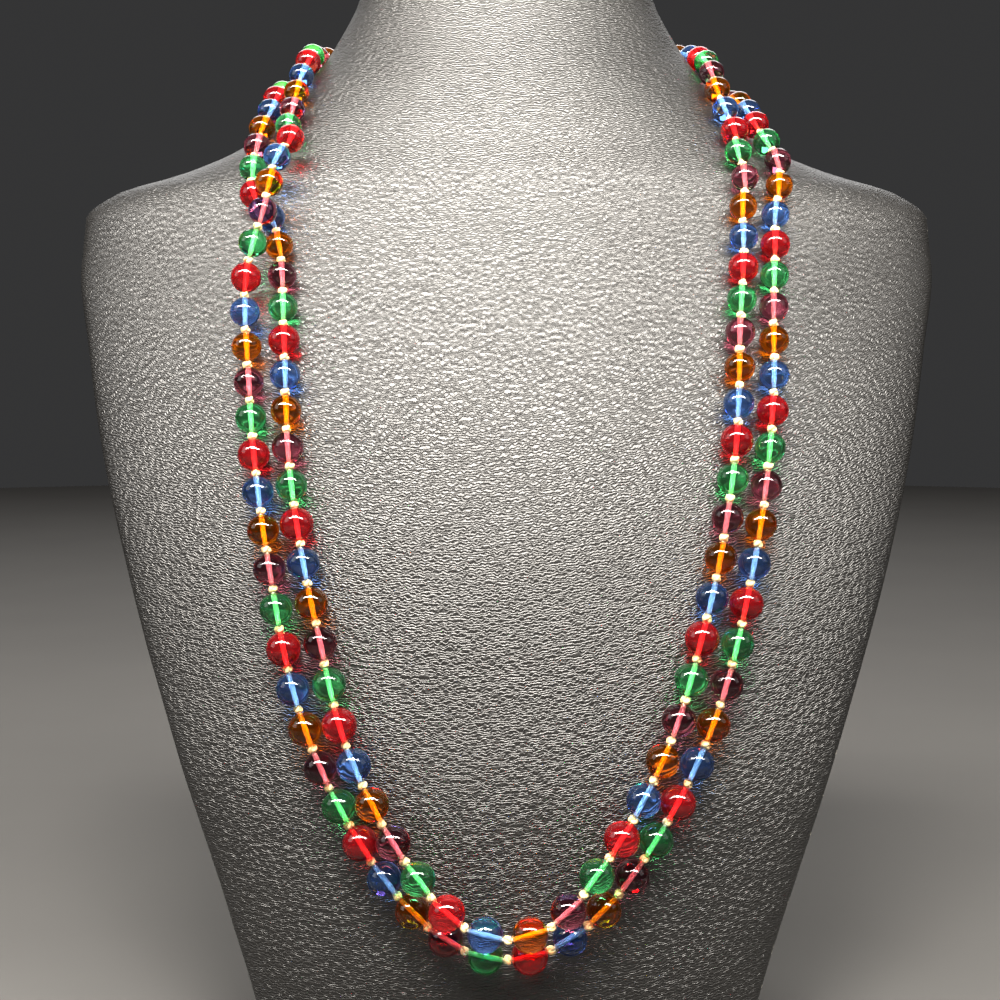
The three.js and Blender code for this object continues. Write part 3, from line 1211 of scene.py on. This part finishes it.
@dataclass
class Clasp:
    """The plain gilt box at the nape, with softened edges."""

    finish: Gilt
    corner: float = 1.6 * MM
    softening: float = 0.7 * MM
    corner_steps: int = 8

    def build(self) -> bpy.types.Object:
        """Builds the clasp in the place of its plain solid.

        Returns:
            The clasp.
        """
        low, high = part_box("clasp")
        middle, half = (np.array(low) + np.array(high)) / 2, (np.array(high) - np.array(low)) / 2
        quarter = np.radians(np.linspace(0, 90, 5))
        soft = self.softening
        rise = [(-half[1] + soft * (1 - math.sin(a)), soft * (1 - math.cos(a))) for a in quarter]
        profile = [(y, inset) for y, inset in reversed(rise)] + [(-y, inset) for y, inset in rise]
        profile = [(-half[1], soft * 2.5)] + profile + [(half[1], soft * 2.5)]
        rings = [self.outline(half, y, inset) + middle for y, inset in profile]
        draft = Draft("box_clasp")
        draft.add(np.concatenate(rings), tube_faces(len(rings), len(rings[0]), looped=False, capped=True))
        clasp = draft.build(self.finish.make(), "clasp_metal")
        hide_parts("clasp")
        return clasp

    def outline(self, half: np.ndarray, y: float, inset: float) -> np.ndarray:
        """One outline of the box, at a depth.

        Args:
            half: half the box's size.
            y: the depth.
            inset: how far the outline is drawn in.

        Returns:
            The outline's points about the box's middle.
        """
        points = []
        for index, (sx, sz) in enumerate(((1, -1), (-1, -1), (-1, 1), (1, 1))):
            start = -index * math.pi / 2
            for step in range(self.corner_steps):
                angle = start - step / (self.corner_steps - 1) * math.pi / 2
                x = sx * (half[0] - self.corner) + (self.corner - inset) * math.cos(angle)
                z = sz * (half[2] - self.corner) + (self.corner - inset) * math.sin(angle)
                points.append((x, y, z))
        return np.array(points)


# ---- the studio ------------------------------------------------------------------------------


@dataclass(frozen=True)
class SoftBox:
    """A soft lamp aimed at the chest from an azimuth and an elevation, in degrees."""

    name: str
    azimuth: float
    elevation: float
    distance: float
    width: float
    height: float
    power: float
    colour: Colour = (1.0, 1.0, 1.0)

    def place(self, target: np.ndarray) -> None:
        """Hangs the lamp.

        Args:
            target: the point it is aimed at.
        """
        azimuth, elevation = math.radians(self.azimuth), math.radians(self.elevation)
        level = math.cos(elevation)
        away = np.array([math.sin(azimuth) * level, -math.cos(azimuth) * level, math.sin(elevation)])
        light = bpy.data.lights.new(self.name, "AREA")
        light.shape = "RECTANGLE"
        light.size, light.size_y = self.width, self.height
        light.energy = self.power
        light.color = self.colour
        lamp = bpy.data.objects.new(self.name, light)
        lamp.location = target + away * self.distance
        lamp.rotation_euler = (math.pi / 2 - elevation, 0.0, azimuth)
        bpy.context.scene.collection.objects.link(lamp)


@dataclass
class Studio:
    """The pale floor, the soft lamps and the camera."""

    form: BustForm
    floor_finish: StudioFloor
    floor_radius: float = 2.2
    camera_distance: float = 0.480
    camera_pitch: float = 5.0
    camera_aim_height: float = 0.168
    camera_aside: float = -0.002
    focal_length_mm: float = 63.07
    lamps: tuple[SoftBox, ...] = (
        SoftBox("key_strip", -4, 54, 0.95, 1.9, 0.24, 6.0, (1.0, 0.95, 0.88)),
        SoftBox("key_spot", -4, 54, 0.94, 0.26, 0.24, 1.5, (1.0, 0.95, 0.88)),
        SoftBox("back_fill", 180, 40, 1.8, 1.6, 1.0, 1.9),
        SoftBox("left_fill", -75, 25, 1.6, 0.9, 0.9, 0.7),
        SoftBox("right_fill", 75, 25, 1.6, 0.9, 0.9, 0.35),
    )
    sky: Colour = (0.11, 0.11, 0.112)
    sky_strength: float = 0.05
    look: str = "Medium High Contrast"
    exposure: float = 3.0

    def build(self) -> None:
        """Sets up the whole studio."""
        self.lay_floor()
        target = self.form.origin + np.array([0.0, 20 * MM, 190 * MM])
        for lamp in self.lamps:
            lamp.place(target)
        world = bpy.data.worlds.new("studio")
        world.use_nodes = True
        background = world.node_tree.nodes["Background"]
        background.inputs["Color"].default_value = _rgba(self.sky)
        background.inputs["Strength"].default_value = self.sky_strength
        bpy.context.scene.world = world
        bpy.context.scene.view_settings.view_transform = "Standard"
        bpy.context.scene.view_settings.look = self.look
        bpy.context.scene.view_settings.exposure = self.exposure
        self.set_camera()

    def lay_floor(self) -> None:
        """Lays the round floor that the base stands on."""
        angles = np.arange(96) * math.tau / 96
        rim = np.stack([np.cos(angles), np.sin(angles), np.zeros(96)], axis=1) * self.floor_radius
        mesh = bpy.data.meshes.new("floor")
        mesh.from_pydata(rim.tolist(), [], [tuple(range(96))])
        mesh.materials.append(self.floor_finish.make())
        floor = bpy.data.objects.new("floor", mesh)
        bpy.context.scene.collection.objects.link(floor)

    def set_camera(self) -> None:
        """Sets the camera in front of the chest, a little above it and looking slightly down."""
        pitch = math.radians(self.camera_pitch)
        camera_data = bpy.data.cameras.new("camera")
        camera_data.lens = self.focal_length_mm
        camera_data.clip_start = 10 * MM
        camera = bpy.data.objects.new("camera", camera_data)
        back = np.array([0.0, -math.cos(pitch), math.sin(pitch)]) * self.camera_distance
        aim = np.array([self.camera_aside, 0.0, self.camera_aim_height])
        camera.location = self.form.origin + aim + back
        camera.rotation_euler = (math.pi / 2 - pitch, 0.0, 0.0)
        bpy.context.scene.collection.objects.link(camera)
        bpy.context.scene.camera = camera


# ---- the whole -------------------------------------------------------------------------------


def strand_nodes(name: str) -> list[str]:
    """The plain solids of one strand."""
    return [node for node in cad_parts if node.startswith(f"{name}_")]


def string_strand(
    strand: Strand,
    glasses: dict[Tint, bpy.types.Material],
    clean: bpy.types.Material,
    yellowed: bpy.types.Material,
) -> None:
    """Builds one strand's beads, thread and knots in the place of its plain solids.

    Args:
        strand: the strand.
        glasses: the material of each glass.
        clean: the finish of the thread inside the beads.
        yellowed: the finish of the knots.
    """
    beads = strand.beads()
    LOG.info("%s: %d beads on %.0f mm of thread", strand.name, len(beads), strand.runs[-1] / MM)
    pieces = BeadString(strand, beads, FULLNESS).build(glasses)
    pieces += KnottedThread(strand, beads).build(clean, yellowed)
    for piece in pieces:
        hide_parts(*strand_nodes(strand.name))


def main() -> None:
    """Builds the bust, the strands, the clasp and the studio, in that order."""
    logging.basicConfig(level=logging.INFO, format="%(name)s: %(message)s")
    low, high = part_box("neck_bust")
    origin = np.array([(low.x + high.x) / 2, high.y - BUST_BACK_MM * MM, low.z])
    form = BustForm(BUST_LEVELS, BUST_BACK_MM, origin)
    NeckBust(form, Leatherette()).build()
    glasses = {glass.tint: glass.make() for glass in GLASSES}
    clean = CreamThread("thread").make()
    yellowed = CreamThread("knot_thread", pale=(0.90, 0.72, 0.38), deep=(0.74, 0.53, 0.24)).make()
    for strand in (
        Strand("outer_strand", OUTER_ROUTE, form, Tint.RUBY),
        Strand("inner_strand", INNER_ROUTE, form, Tint.AMBER),
    ):
        string_strand(strand, glasses, clean, yellowed)
    Clasp(Gilt()).build()
    Studio(form, StudioFloor()).build()


if __name__ == "__main__":
    main()
